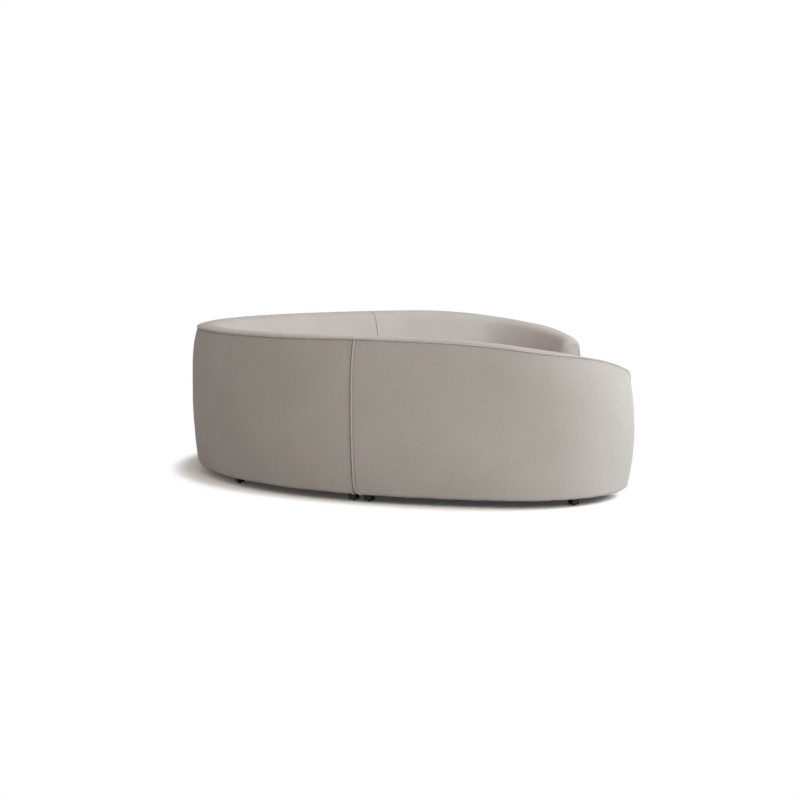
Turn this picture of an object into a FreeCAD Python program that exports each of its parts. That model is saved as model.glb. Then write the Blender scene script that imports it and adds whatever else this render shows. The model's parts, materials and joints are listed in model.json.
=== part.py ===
import FreeCAD, Part
import math
import os

Vector = FreeCAD.Vector
UP = Vector(0, 0, 1)
ORIGIN = Vector(0, 0, 0)
FULL_TURN = 360.0
HALF_TURN = 180.0

# A curved sectional sofa in three units: a middle unit and two mirrored arm units.
# The front faces -Y, the floor is Z = 0, and left is -X. Lengths are in mm, angles in degrees.
# "Run" is the distance along the outer top edge from the middle of the back, and "inset" is
# the distance in from that edge, square to it.

# Outer top edge in plan: three tangent arcs on each side of the middle
back_radius = 1500.0
back_angle = 62.2
side_radius = 1900.0
side_angle = 19.8
end_radius = 500.0
end_angle = 90.3

# Heights above the floor
underside_height = 35.0
edge_height = 690.0
deck_height = 290.0
arm_slope_start = 1030.0
arm_slope_radius = 3410.0

# Seat in plan
seat_reach = 775.0
seat_front_setback = 21.7
seat_corner_radius = 90.0

# Clearances
fit = 0.3
seam_gap = 4.0
cushion_gap = 3.0
cut_overrun = 5.0

# Padded outside
panel_thickness = 12.0
panel_belly = 27.0
panel_heel = 4.0
panel_heel_height = 18.0
panel_turn_under = 14.0
panel_return = 60.0
panel_return_thickness = 2.0

# Piping along the outer top edge
piping_radius = 3.0
piping_sides = 4

# Rolled top and inner back, at the middle unit and at the arm's end
crown_inset = 60.0
crown_rise = 18.0
roll_radius = 75.0
back_lean = 28.0
pad_inset = 222.0
arm_crown_inset = 44.0
arm_crown_rise = 15.0
arm_roll_radius = 48.0
arm_lean = 12.0
arm_pad_inset = 110.0
pad_thickness = 48.0
arm_end_thickness = 14.0
arm_end_rounding = 6.0
arm_end_shoulder_depth = 0.7
arm_end_shoulder_draw = 0.25

# Plywood frame
board_thickness = 4.0
plate_thickness = 18.0
top_rail_thickness = 18.0
top_rail_drop = 32.0
top_rail_front = 85.0
arm_rail_front = 62.0
rib_thickness = 18.0
rib_relief = 2.0
seat_rib_drop = 28.0
seat_rail_thickness = 13.7
seat_rail_width = 40.0
front_rail_thickness = 18.0
short_rib_reach = 30.0
end_panel_thickness = 10.0
middle_rib_angles = (0.0, 20.0, 40.0, 58.5)
side_rib_shares = (0.1, 0.55, 1.0)
end_rib_shares = (0.3, 0.58, 0.86)
bearer_shares = (0.08, 0.5, 0.92)

# Seat support
strap_width = 60.0
strap_thickness = 2.5
strap_wall_gap = 12.0
deck_thickness = 10.6
middle_strap_count = 14
side_strap_count = 4
end_strap_shares = (0.14, 0.4, 0.66, 0.92)
dust_cover_thickness = 2.0

# Seat front
fascia_thickness = 14.0

# Loose seat cushions
cushion_thickness = 140.0
cushion_edge_inset = 10.0
cushion_crown = 20.0
cushion_top_share = 0.8

# Feet
foot_width = 36.0
foot_height = 27.7
foot_bevel = 2.0
glide_radius = 7.0
glide_height = 7.0
outer_foot_inset = 63.0
inner_foot_margin = 75.0
seam_foot_distance = 38.0
middle_foot_angles = (-30.3, 0.0, 30.3)
arm_foot_share = 0.447

# Connectors between the units
outer_connector_inset = 170.0
inner_connector_margin = 175.0
connector_width = 50.0
connector_length = 115.0
connector_overhang = 50.0
connector_thickness = 3.0
pin_distance = 30.0
pin_radius = 6.0
pin_flange_width = 34.0
pin_flange_thickness = 2.0
pin_tip_height = 22.0

# Number of straight spans in which an arm unit's wall goes round its side and its end
side_spans = 4
end_spans = 9

# Number of sides of the small round pieces
disc_sides = 12

# Number of straight steps in which a padded outline goes round each of its curves
belly_steps = 3
crown_steps = 2
roll_steps = 3
face_steps = 1
cushion_steps = 4


def outward(turn):
    """The direction square to the outer edge and away from the seat, where the edge has turned this far."""
    return Vector(math.sin(math.radians(turn)), math.cos(math.radians(turn)), 0)


def along(turn):
    """The direction of the outer edge, away from the middle of the back."""
    return Vector(math.cos(math.radians(turn)), -math.sin(math.radians(turn)), 0)


# Ends of the arcs, as turns and as runs
side_turn = back_angle + side_angle
end_turn = side_turn + end_angle
back_run = back_radius * math.radians(back_angle)
side_run = back_run + side_radius * math.radians(side_angle)
end_run = side_run + end_radius * math.radians(end_angle)
arm_pad_run = end_run - arm_end_thickness
arm_pad_turn = end_turn - math.degrees(arm_end_thickness / end_radius)

# Arc centres, first with the back's outer edge on Y = 0, then moved so that the depth is centred
back_centre = Vector(0, -back_radius, 0)
side_centre = back_centre + outward(back_angle) * (back_radius - side_radius)
end_centre = side_centre + outward(side_turn) * (side_radius - end_radius)
front_most = end_centre + outward(arm_pad_turn) * (end_radius + panel_belly)
depth_shift = (-front_most.y - panel_belly) / 2
back_centre = back_centre + Vector(0, depth_shift, 0)
side_centre = side_centre + Vector(0, depth_shift, 0)
end_centre = end_centre + Vector(0, depth_shift, 0)
back_edge = depth_shift
front_line = end_centre.y - end_radius + seat_front_setback


def bend_at(run):
    """Centre, radius and turn of the arc that the outer edge follows at this run."""
    if run <= back_run:
        return back_centre, back_radius, math.degrees(run / back_radius)
    if run <= side_run:
        return side_centre, side_radius, back_angle + math.degrees((run - back_run) / side_radius)
    return end_centre, end_radius, side_turn + math.degrees((run - side_run) / end_radius)


def spot(run, inset, height):
    """A point inset from the outer edge at this run."""
    centre, radius, turn = bend_at(run)
    return centre + outward(turn) * (radius - inset) + UP * height


def mix(first, last, share):
    return first + (last - first) * share


def arm_share(run):
    """0 at the middle unit and 1 at the arm's end, with no kink at either."""
    share = min(max((run - back_run) / (end_run - back_run), 0), 1)
    return share * share * (3 - 2 * share)


def edge_top(run):
    """Height of the outer top edge: level round the back, then falling along a large arc."""
    forward = back_edge - spot(run, 0, 0).y
    past = max(forward - arm_slope_start, 0)
    return edge_height - arm_slope_radius + math.sqrt(arm_slope_radius**2 - past**2)


def arc_points(start, middle, end, steps):
    """Points of (inset, height) along an arc, in even steps, without its start."""
    arc = Part.Arc(*[Vector(point[0], point[1], 0) for point in (start, middle, end)]).toShape()
    return [(point.x, point.y) for point in arc.discretize(steps + 1)[1:]]


def section_wire(run, outline):
    """A closed outline of (inset, height) corners in the upright plane square to the edge."""
    return Part.makePolygon([spot(run, *corner) for corner in outline + outline[:1]])


def round_middle(outline, first_run, last_run):
    """Turn a wall outline about the back's centre, between two runs."""
    face = Part.Face(section_wire(last_run, outline(0, edge_height)))
    sweep = math.degrees((last_run - first_run) / back_radius)
    return face.revolve(back_centre, UP, sweep)


def section_runs(first_run, last_run):
    """The runs at which an arm unit's wall bends, with the two ends of a piece."""
    bends = [mix(back_run, side_run, step / side_spans) for step in range(1, side_spans + 1)]
    bends += [mix(side_run, end_run, step / end_spans) for step in range(1, end_spans)]
    return [first_run] + bends + [last_run]


def round_arm(outline, first_run, last_run):
    """Carry a wall outline through sections that follow the side and the arm's end."""
    runs = section_runs(first_run, last_run)
    wires = [section_wire(run, outline(arm_share(run), edge_top(run))) for run in runs]
    return Part.makeLoft(wires, True, True)


# Runs at which the pieces of the middle and arm units end
middle_end = back_run - seam_gap
middle_inner_end = middle_end - end_panel_thickness - fit
arm_start = back_run
arm_inner_start = arm_start + end_panel_thickness + fit
arm_inner_end = arm_pad_run - fit

# Heights and insets that follow from the boards
plate_bottom = underside_height + panel_return_thickness + fit
plate_top = plate_bottom + plate_thickness
frame_floor = plate_top + fit
board_inset = panel_thickness + fit
rib_inset = board_inset + board_thickness + fit
seat_rib_top = deck_height - seat_rib_drop
seat_rail_bottom = seat_rib_top + fit
seat_rail_top = seat_rail_bottom + seat_rail_thickness
strap_bottom = seat_rail_top + fit
strap_top = strap_bottom + strap_thickness
deck_bottom = strap_top + fit
deck_top = deck_bottom + deck_thickness
fascia_inset = seat_reach - fascia_thickness
rail_outer_inset = fascia_inset - fit
rail_inner_inset = rail_outer_inset - front_rail_thickness
notch = piping_radius + fit
bearer_start = seat_reach - rail_inner_inset + fit
strap_wall_margin = strap_wall_gap - pad_thickness


def panel_outside(top):
    """Outer face of the padded outside, from its turned-under bottom edge up to the piping."""
    belly_height = (underside_height + top) / 2
    heel = (-panel_heel, underside_height + panel_heel_height)
    bottom = (panel_turn_under, underside_height)
    knuckle_share = 1 - math.sqrt(0.5)
    knuckle = (
        mix(heel[0], bottom[0], knuckle_share),
        mix(bottom[1], heel[1], knuckle_share),
    )
    belly = arc_points(heel, (-panel_belly, belly_height), (0, top - notch), belly_steps)
    return [bottom, knuckle, heel] + belly


def roll_points(share, top, floor):
    """Crown, roll and reclined inner face of the padded wall, as three arcs down to the floor given."""
    crown_at = mix(crown_inset, arm_crown_inset, share)
    rise = mix(crown_rise, arm_crown_rise, share)
    roll = mix(roll_radius, arm_roll_radius, share)
    lean = math.radians(mix(back_lean, arm_lean, share))
    foot = mix(pad_inset, arm_pad_inset, share)
    crown_height = top + rise
    climb = rise - notch
    crown_radius = (crown_at**2 + climb**2) / (2 * climb)
    half_arc = math.asin(crown_at / crown_radius) / 2
    shoulder = (
        crown_at - crown_radius * math.sin(half_arc),
        crown_height - crown_radius * (1 - math.cos(half_arc)),
    )
    middle = (math.pi / 2 + lean) / 2
    roll_middle = (
        crown_at + roll * math.cos(middle),
        crown_height - roll * (1 - math.sin(middle)),
    )
    roll_end = (
        crown_at + roll * math.cos(lean),
        crown_height - roll * (1 - math.sin(lean)),
    )
    across = foot - roll_end[0]
    down = roll_end[1] - floor
    length = math.hypot(across, down)
    swell = length / 2 * math.tan((lean - math.atan2(across, down)) / 2)
    face_middle = (
        roll_end[0] + across / 2 + swell * down / length,
        roll_end[1] - down / 2 + swell * across / length,
    )
    crown = (crown_at, crown_height)
    points = arc_points((0, top + notch), shoulder, crown, crown_steps)
    points += arc_points(crown, roll_middle, roll_end, roll_steps)
    return points + arc_points(roll_end, face_middle, (foot, floor), face_steps)


def outer_panel_outline(share, top):
    return panel_outside(top) + [
        (panel_thickness, top - notch),
        (panel_thickness, underside_height + panel_return_thickness),
        (panel_return, underside_height + panel_return_thickness),
        (panel_return, underside_height),
    ]


def back_pad_outline(share, top):
    front = mix(top_rail_front, arm_rail_front, share) + fit
    foot = mix(pad_inset, arm_pad_inset, share)
    rail_top = top - top_rail_drop
    rail_bottom = rail_top - top_rail_thickness
    return roll_points(share, top, deck_height) + [
        (foot - pad_thickness, deck_height),
        (front, rail_bottom),
        (front, rail_top + fit),
        (board_inset, rail_top + fit),
        (board_inset, top - piping_radius),
        (notch, top - piping_radius),
        (notch, top + notch),
        (0, top + notch),
    ]


def shell_board_outline(share, top):
    inner = board_inset + board_thickness
    upper = top - top_rail_drop
    return [(board_inset, frame_floor), (board_inset, upper), (inner, upper), (inner, frame_floor)]


def top_rail_outline(share, top):
    front = mix(top_rail_front, arm_rail_front, share)
    upper = top - top_rail_drop
    lower = upper - top_rail_thickness
    return [(rib_inset, lower), (rib_inset, upper), (front, upper), (front, lower)]


def seat_rail_outline(share, top):
    front = mix(pad_inset, arm_pad_inset, share) - pad_thickness + seat_rail_width
    back = front - seat_rail_width
    return [
        (back, seat_rail_bottom),
        (back, seat_rail_top),
        (front, seat_rail_top),
        (front, seat_rail_bottom),
    ]


def piping_outline(share, top):
    """A cord, with few sides, that lies in the notch between the outside and the rolled top."""
    turns = [2 * math.pi * side / piping_sides for side in range(piping_sides)]
    return [(piping_radius * math.cos(turn), top + piping_radius * math.sin(turn)) for turn in turns]


def end_panel_outline(share, top):
    """The whole closed side of a unit: the wall with its roll, and the seat box below the deck."""
    wall = panel_outside(top) + [(0, top + notch)] + roll_points(share, top, deck_top)
    return wall + [(seat_reach, deck_top), (seat_reach, underside_height)]


def arm_end_wire(run, shrink):
    """The wall's section at the arm's end, drawn in by shrink all round."""
    top = edge_top(run) - shrink
    outline = panel_outside(top) + [(0, top + notch)] + roll_points(1, top, deck_height)
    outline.append((arm_pad_inset, underside_height))
    middle = arm_pad_inset / 2
    return section_wire(run, [(mix(inset, middle, shrink / middle), height) for inset, height in outline])


def inner_line_start(inset):
    """Where the side's concave seat front ends and its straight part begins."""
    return side_centre + outward(side_turn) * (side_radius - seat_reach + inset)


corner_start = inner_line_start(0)
corner_y = front_line + seat_corner_radius
corner_x = (
    corner_start.x
    + (seat_corner_radius - (corner_y - corner_start.y) * math.cos(math.radians(side_turn)))
    / math.sin(math.radians(side_turn))
)
corner_centre = Vector(corner_x, corner_y, 0)


def seat_front_edges(start, inset, height, last_turn):
    """The seat's front in plan: straight along the front, round the corner, and back to the seam."""
    lift = UP * height
    radius = seat_corner_radius - inset
    halfway = outward(side_turn / 2 + HALF_TURN)
    front_end = corner_centre + outward(HALF_TURN) * radius + lift
    corner_middle = corner_centre + halfway * radius + lift
    corner_end = corner_centre - outward(side_turn) * radius + lift
    line_end = inner_line_start(inset) + lift
    inner_radius = side_radius - seat_reach + inset
    arc_middle = side_centre + outward((side_turn + last_turn) / 2) * inner_radius + lift
    seam_point = side_centre + outward(last_turn) * inner_radius + lift
    return [
        Part.makeLine(start, front_end),
        Part.Arc(front_end, corner_middle, corner_end).toShape(),
        Part.makeLine(corner_end, line_end),
        Part.Arc(line_end, arc_middle, seam_point).toShape(),
    ]


def line_through(points):
    return [Part.makeLine(*pair) for pair in zip(points, points[1:])]


def front_start(turn, inset, height, clear):
    """Where the upright plane at an arm's end crosses the seat's front line."""
    depth = end_centre.y - front_line - inset
    point = end_centre + outward(turn) * (depth / -math.cos(math.radians(turn)))
    return point + along(turn) * clear + UP * height


def arm_floor_face(wall_inset, front_inset, height):
    """Plan of a level board of the arm unit, from the wall to the seat's front."""
    turn = arm_pad_turn - math.degrees(fit / end_radius)
    start = front_start(turn, front_inset, height, 0)
    seam_turn = back_angle + math.degrees((arm_inner_start - back_run) / side_radius)
    wall = [spot(run, wall_inset, height) for run in section_runs(arm_inner_start, arm_inner_end)]
    edges = line_through(wall + [start])
    edges += seat_front_edges(start, front_inset, height, seam_turn)
    seam_point = side_centre + outward(seam_turn) * (side_radius - seat_reach + front_inset) + UP * height
    edges.append(Part.makeLine(seam_point, spot(arm_inner_start, wall_inset, height)))
    return Part.Face(Part.Wire(edges))


def board_outline(outer_inset, inner_inset, bottom, thickness):
    top = bottom + thickness
    return [(outer_inset, bottom), (outer_inset, top), (inner_inset, top), (inner_inset, bottom)]


def ring_sector(first_run, last_run, outer_inset, inner_inset, bottom, thickness):
    """A level board of the middle unit, with both edges on the back's centre."""
    face = Part.Face(section_wire(last_run, board_outline(outer_inset, inner_inset, bottom, thickness)))
    return face.revolve(back_centre, UP, math.degrees((last_run - first_run) / back_radius))


def rib(run, seat_end, relief):
    """An L-shaped plywood rib that carries the back and the seat."""
    share = arm_share(run)
    rail_bottom = edge_top(run) - top_rail_drop - top_rail_thickness - fit - relief
    front = mix(top_rail_front, arm_rail_front, share)
    foot = mix(pad_inset, arm_pad_inset, share) - pad_thickness - fit
    end = seat_end if seat_end else foot + short_rib_reach
    outline = [
        (rib_inset + relief, frame_floor),
        (rib_inset + relief, rail_bottom),
        (front - relief, rail_bottom),
        (foot - relief, deck_height),
        (foot - relief, seat_rib_top),
        (end, seat_rib_top),
        (end, frame_floor),
    ]
    face = Part.Face(section_wire(run, outline))
    thickness = along(bend_at(run)[2]) * rib_thickness
    return face.translated(thickness * -0.5).extrude(thickness)


def across_seat(share, start_inset, wall_margin):
    """Both ends of a board or strap that runs from the straight seat front to the arm's padded wall."""
    direction = outward(side_turn)
    length = (corner_centre - corner_start).dot(along(side_turn))
    start = corner_start + along(side_turn) * (length * share) + direction * start_inset
    from_centre = start - end_centre
    half = from_centre.dot(direction)
    run = end_run
    for _ in range(4):
        reach = end_radius - mix(pad_inset, arm_pad_inset, arm_share(run)) - wall_margin
        distance = -half + math.sqrt(half * half - from_centre.dot(from_centre) + reach * reach)
        end = from_centre + direction * distance
        run = side_run + end_radius * (math.atan2(end.x, end.y) - math.radians(side_turn))
    return start, start + direction * distance


def bar(start, end, width, bottom, height):
    """A straight board or strap between two plan points."""
    direction = (end - start).normalize()
    side = Vector(-direction.y, direction.x, 0) * (width / 2)
    lift = UP * bottom
    corners = [start - side + lift, end - side + lift, end + side + lift, start + side + lift]
    face = Part.Face(Part.makePolygon(corners + corners[:1]))
    return face.extrude(UP * height)


def disc(place, radius, bottom, height):
    """A small round piece or hole with many sides."""
    rim = [place + outward(FULL_TURN * side / disc_sides) * radius + UP * bottom for side in range(disc_sides)]
    return Part.Face(Part.makePolygon(rim + rim[:1])).extrude(UP * height)


def mirrored(shape):
    return shape.mirror(ORIGIN, Vector(1, 0, 0))


def export(name, shape):
    shape.exportStep("parts/" + name + ".step")
    print(name, len(shape.Solids), "solids", round(shape.Volume / 1e6, 3), "litres", shape.isValid())


def export_pair(name, shape):
    """Write a piece of the right arm unit and its mirror image in the left one."""
    export("right_" + name, shape)
    export("left_" + name, mirrored(shape))


os.makedirs("parts", exist_ok=True)

# Wall pieces that follow the outer edge in both kinds of unit
wall_outlines = {
    "outer_panel": outer_panel_outline,
    "shell_board": shell_board_outline,
    "top_rail": top_rail_outline,
    "seat_rail": seat_rail_outline,
    "back_pad": back_pad_outline,
    "top_piping": piping_outline,
}
for name, outline in wall_outlines.items():
    export("middle_" + name, round_middle(outline, -middle_inner_end, middle_inner_end))
    export_pair(name, round_arm(outline, arm_inner_start, arm_inner_end))

# Closed sides at the seams
seam_side = Part.Face(section_wire(middle_end, end_panel_outline(0, edge_height)))
middle_side = seam_side.revolve(back_centre, UP, math.degrees(end_panel_thickness / back_radius))
export("middle_end_panels", Part.makeCompound([middle_side, mirrored(middle_side)]))
arm_side = Part.Face(section_wire(arm_start + fit, end_panel_outline(0, edge_height)))
arm_side_angle = math.degrees((end_panel_thickness - fit) / side_radius)
export_pair("end_panel", arm_side.revolve(side_centre, UP, -arm_side_angle))

# Padded face of the arm's end
arm_end_wires = [
    arm_end_wire(arm_pad_run, 0),
    arm_end_wire(mix(arm_pad_run, end_run, arm_end_shoulder_depth), arm_end_rounding * arm_end_shoulder_draw),
    arm_end_wire(end_run, arm_end_rounding),
]
export_pair("arm_end_pad", Part.makeLoft(arm_end_wires, True, True))

# Base plates, with room for the padded face at the arm's end
plate = ring_sector(
    -middle_inner_end, middle_inner_end, board_inset, rail_outer_inset, plate_bottom, plate_thickness
)
export("middle_base_plate", plate)
arm_plate = arm_floor_face(board_inset, seat_reach - rail_outer_inset, plate_bottom).extrude(UP * plate_thickness)
end_room_floor = underside_height - cut_overrun
end_room = board_outline(-panel_belly, arm_pad_inset + fit, end_room_floor, deck_height - end_room_floor)
end_room_face = Part.Face(section_wire(end_run + fit, end_room))
end_room_angle = math.degrees((end_run + fit - arm_inner_end) / end_radius)
arm_end_room = end_room_face.revolve(end_centre, UP, end_room_angle)
export_pair("base_plate", arm_plate.cut(arm_end_room))

# Ribs, and the straight bearers under the front of the arm units' seats
rib_runs = [back_radius * math.radians(angle) for angle in middle_rib_angles]
side_rib_runs = [mix(arm_inner_start, side_run, share) for share in side_rib_shares]
middle_ribs = [rib(run, rail_inner_inset - fit, 0) for run in rib_runs]
middle_ribs += [mirrored(piece) for piece in middle_ribs[1:]]
export("middle_frame_ribs", Part.makeCompound(middle_ribs))
arm_ribs = [rib(run, rail_inner_inset - fit, rib_relief) for run in side_rib_runs]
arm_ribs += [rib(mix(side_run, arm_inner_end, share), 0, rib_relief) for share in end_rib_shares]
export_pair("frame_ribs", Part.makeCompound(arm_ribs))
bearers = [
    bar(*across_seat(share, bearer_start, 0), rib_thickness, frame_floor, seat_rib_top - frame_floor)
    for share in bearer_shares
]
export_pair("seat_bearers", Part.makeCompound(bearers))

# Front rails and padded fascias
front_rail = ring_sector(
    -middle_inner_end,
    middle_inner_end,
    rail_inner_inset,
    rail_outer_inset,
    frame_floor,
    seat_rail_top - frame_floor,
)
export("middle_front_rail", front_rail)
fascia = ring_sector(
    -middle_inner_end,
    middle_inner_end,
    fascia_inset,
    seat_reach,
    underside_height,
    deck_top - underside_height,
)
export("middle_front_panel", fascia)


def arm_front_board(outer_inset, inner_inset, bottom, height, end_clear):
    """An upright board round the front of an arm unit's seat, between two insets from its face."""
    seam_turn = back_angle + math.degrees((arm_inner_start - back_run) / side_radius)
    outer_start = front_start(end_turn, outer_inset, bottom, end_clear)
    inner_start = front_start(end_turn, inner_inset, bottom, end_clear)
    outer_edges = seat_front_edges(outer_start, outer_inset, bottom, seam_turn)
    inner_edges = seat_front_edges(inner_start, inner_inset, bottom, seam_turn)
    seam_outer = outer_edges[-1].Vertexes[-1].Point
    seam_inner = inner_edges[-1].Vertexes[-1].Point
    edges = outer_edges + inner_edges
    edges += [Part.makeLine(outer_start, inner_start), Part.makeLine(seam_outer, seam_inner)]
    face = Part.Face(Part.Wire(Part.__sortEdges__(edges)))
    return face.extrude(UP * height)


export_pair(
    "front_rail",
    arm_front_board(
        seat_reach - rail_outer_inset,
        seat_reach - rail_inner_inset,
        frame_floor,
        seat_rail_top - frame_floor,
        fit,
    ),
)
export_pair(
    "front_panel",
    arm_front_board(0, fascia_thickness, underside_height, deck_top - underside_height, fit),
)

# Elastic straps across the seats
strap_start_inset = pad_inset + strap_wall_margin
middle_straps = []
for count in range(middle_strap_count):
    share = (count + 0.5) / middle_strap_count
    run = mix(-middle_inner_end, middle_inner_end, share)
    ends = [spot(run, strap_start_inset, 0), spot(run, rail_outer_inset, 0)]
    middle_straps.append(bar(*ends, strap_width, strap_bottom, strap_thickness))
export("middle_seat_straps", Part.makeCompound(middle_straps))
arm_straps = []
for count in range(side_strap_count):
    run = mix(arm_inner_start, side_run, (count + 0.5) / side_strap_count)
    start_inset = mix(pad_inset, arm_pad_inset, arm_share(run)) + strap_wall_margin
    ends = [spot(run, start_inset, 0), spot(run, rail_outer_inset, 0)]
    arm_straps.append(bar(*ends, strap_width, strap_bottom, strap_thickness))
for share in end_strap_shares:
    ends = across_seat(share, seat_reach - rail_outer_inset, strap_wall_margin)
    arm_straps.append(bar(*ends, strap_width, strap_bottom, strap_thickness))
export_pair("seat_straps", Part.makeCompound(arm_straps))

# Seat decks and dust covers
deck_wall_inset = pad_inset - pad_thickness
deck = ring_sector(
    -middle_inner_end, middle_inner_end, deck_wall_inset, rail_outer_inset, deck_bottom, deck_thickness
)
export("middle_seat_deck", deck)
dust_bottom = underside_height + panel_return_thickness - dust_cover_thickness
dust_inset = panel_return + fit
dust = ring_sector(
    -middle_inner_end, middle_inner_end, dust_inset, rail_outer_inset, dust_bottom, dust_cover_thickness
)
export("middle_dust_cover", dust)


def foot_inset(run):
    """Inset of the padded wall's foot, where it meets the seat."""
    return mix(pad_inset, arm_pad_inset, arm_share(run))


def arm_seat_edges(wall_extra, end_clear, front_inset, seam_clear, height):
    """Outline of a piece that fills the arm unit's seat and steps forward past the arm's end."""
    seam_radius = side_radius - pad_inset - wall_extra
    first_run = back_run + side_radius * math.asin(seam_clear / seam_radius)
    wall = [spot(run, foot_inset(run) + wall_extra, height) for run in section_runs(first_run, end_run)]
    past_arm = wall[-1] + along(end_turn) * end_clear
    depth = past_arm.y - front_line - front_inset
    front_outer = past_arm + outward(end_turn) * (depth / -math.cos(math.radians(end_turn)))
    inner_radius = side_radius - seat_reach + front_inset
    seam_turn = back_angle + math.degrees(math.asin(seam_clear / inner_radius))
    front_edges = seat_front_edges(front_outer, front_inset, height, seam_turn)
    seam_point = front_edges[-1].Vertexes[-1].Point
    edges = line_through(wall + [past_arm, front_outer]) + front_edges
    return edges + [Part.makeLine(seam_point, wall[0])]


deck_edges = arm_seat_edges(
    -pad_thickness, cushion_gap, seat_reach - rail_outer_inset, end_panel_thickness + fit, deck_bottom
)
export_pair("seat_deck", Part.Face(Part.Wire(deck_edges)).extrude(UP * deck_thickness).cut(arm_end_room))
arm_dust_face = arm_floor_face(dust_inset, seat_reach - rail_outer_inset, dust_bottom)
arm_dust = arm_dust_face.extrude(UP * dust_cover_thickness)
connector_insets = (outer_connector_inset, seat_reach - inner_connector_margin)
pin_spots = [spot(back_run, inset, 0) + along(back_angle) * pin_distance for inset in connector_insets]
for centre in pin_spots:
    reach = outward(back_angle) * (pin_flange_width / 2 + fit)
    hole_height = dust_cover_thickness + 2 * cut_overrun
    hole = bar(centre - reach, centre + reach, pin_flange_width + 2 * fit, dust_bottom - cut_overrun, hole_height)
    arm_dust = arm_dust.cut(hole)
arm_dust = arm_dust.cut(arm_end_room)
export_pair("dust_cover", arm_dust)


def cushion(ring):
    """A loose cushion: sides that swell at half height, and a crowned top. ring(inset, height) is its outline."""
    bottom = deck_top + fit
    top = bottom + cushion_thickness
    sides = [
        ring(cushion_edge_inset, bottom),
        ring(0, bottom + cushion_thickness / 2),
        ring(cushion_edge_inset, top),
    ]
    crown = [ring(cushion_edge_inset, top), ring(seat_corner_radius * cushion_top_share, top + cushion_crown)]
    return Part.makeLoft(sides, True, True).fuse(Part.makeLoft(crown, True, True))


def middle_cushion_ring(inset, height):
    """Half of the middle unit's seat, from its centre plane to the seam."""
    clear = cushion_gap / 2 + inset
    seam_turn = math.degrees(middle_end / back_radius)
    sides = []
    for radius in (back_radius - pad_inset - cushion_gap - inset, back_radius - seat_reach + inset):
        first_turn = math.degrees(math.asin(clear / radius))
        shares = [step / cushion_steps for step in range(cushion_steps + 1)]
        turns = [mix(first_turn, seam_turn - first_turn, share) for share in shares]
        sides.append([back_centre + outward(turn) * radius + UP * height for turn in turns])
    wall, front = sides
    return Part.makePolygon(wall + front[::-1] + wall[:1])


def arm_cushion_ring(inset, height):
    clear = cushion_gap + inset
    points = []
    for edge in arm_seat_edges(clear, clear, inset, clear, height):
        is_arc = isinstance(edge.Curve, Part.Circle)
        points += edge.discretize(cushion_steps + 1 if is_arc else 2)[1:]
    return Part.makePolygon(points + points[:1])


middle_cushion = cushion(middle_cushion_ring)
export("middle_right_seat_cushion", middle_cushion)
export("middle_left_seat_cushion", mirrored(middle_cushion))
export_pair("seat_cushion", cushion(arm_cushion_ring))


def foot_block(place, turn):
    """A square plastic block screwed up under the frame."""
    half = along(turn) * (foot_width / 2)
    bottom = glide_height
    block = bar(place - half, place + half, foot_width, bottom, foot_height)
    upright = [edge for edge in block.Edges if abs(edge.tangentAt(edge.FirstParameter).z) > 0.5]
    return block.makeChamfer(foot_bevel, upright)


def beside_seam(inset, distance):
    """A plan point at this inset, on either side of the seam plane."""
    return spot(back_run, inset, 0) + along(back_angle) * distance


inner_foot_inset = seat_reach - inner_foot_margin
foot_insets = (outer_foot_inset, inner_foot_inset)
middle_feet = [
    (spot(back_radius * math.radians(angle), outer_foot_inset, 0), angle) for angle in middle_foot_angles
]
middle_feet.append((spot(0, inner_foot_inset, 0), 0))
seam_feet = [(beside_seam(inset, -seam_foot_distance), back_angle) for inset in foot_insets]
blocks = [foot_block(*foot) for foot in middle_feet]
glides = [disc(place, glide_radius, 0, glide_height) for place, _ in middle_feet]
for place, turn in seam_feet:
    blocks += [foot_block(place, turn), mirrored(foot_block(place, turn))]
    seam_glide = disc(place, glide_radius, 0, glide_height)
    glides += [seam_glide, mirrored(seam_glide)]
export("middle_feet", Part.makeCompound(blocks))
export("middle_glides", Part.makeCompound(glides))

arm_foot_run = mix(side_run, end_run, arm_foot_share)
arm_feet = [(beside_seam(inset, seam_foot_distance), back_angle) for inset in foot_insets]
arm_feet.append((spot(arm_foot_run, outer_foot_inset, 0), bend_at(arm_foot_run)[2]))
arm_feet.append((corner_centre, side_turn))
export_pair("feet", Part.makeCompound([foot_block(*foot) for foot in arm_feet]))
arm_glides = [disc(place, glide_radius, 0, glide_height) for place, _ in arm_feet]
export_pair("glides", Part.makeCompound(arm_glides))

# Steel plates under the middle unit, and the pins of the arm units that drop into their holes
connector_top = underside_height - fit
plates = []
for inset, pin_spot in zip(connector_insets, pin_spots):
    inner_end = beside_seam(inset, connector_overhang - connector_length)
    outer_end = beside_seam(inset, connector_overhang)
    bottom = connector_top - connector_thickness
    steel = bar(inner_end, outer_end, connector_width, bottom, connector_thickness)
    hole = disc(pin_spot, pin_radius + fit, bottom - cut_overrun, connector_thickness + 2 * cut_overrun)
    steel = steel.cut(hole)
    plates += [steel, mirrored(steel)]
export("middle_connector_plates", Part.makeCompound(plates))


def connector_pin(place):
    """A round steel pin whose square flange is screwed under the arm unit's base plate."""
    flange_bottom = plate_bottom - fit - pin_flange_thickness
    reach = outward(back_angle) * (pin_flange_width / 2)
    flange = bar(place - reach, place + reach, pin_flange_width, flange_bottom, pin_flange_thickness)
    shank = disc(place, pin_radius, pin_tip_height, flange_bottom - pin_tip_height)
    return flange.fuse(shank)


export_pair("connector_pins", Part.makeCompound([connector_pin(place) for place in pin_spots]))
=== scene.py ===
import bmesh
import bpy
import json
import math
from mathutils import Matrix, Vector, noise
from mathutils.bvhtree import BVHTree
from mathutils.kdtree import KDTree


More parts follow.
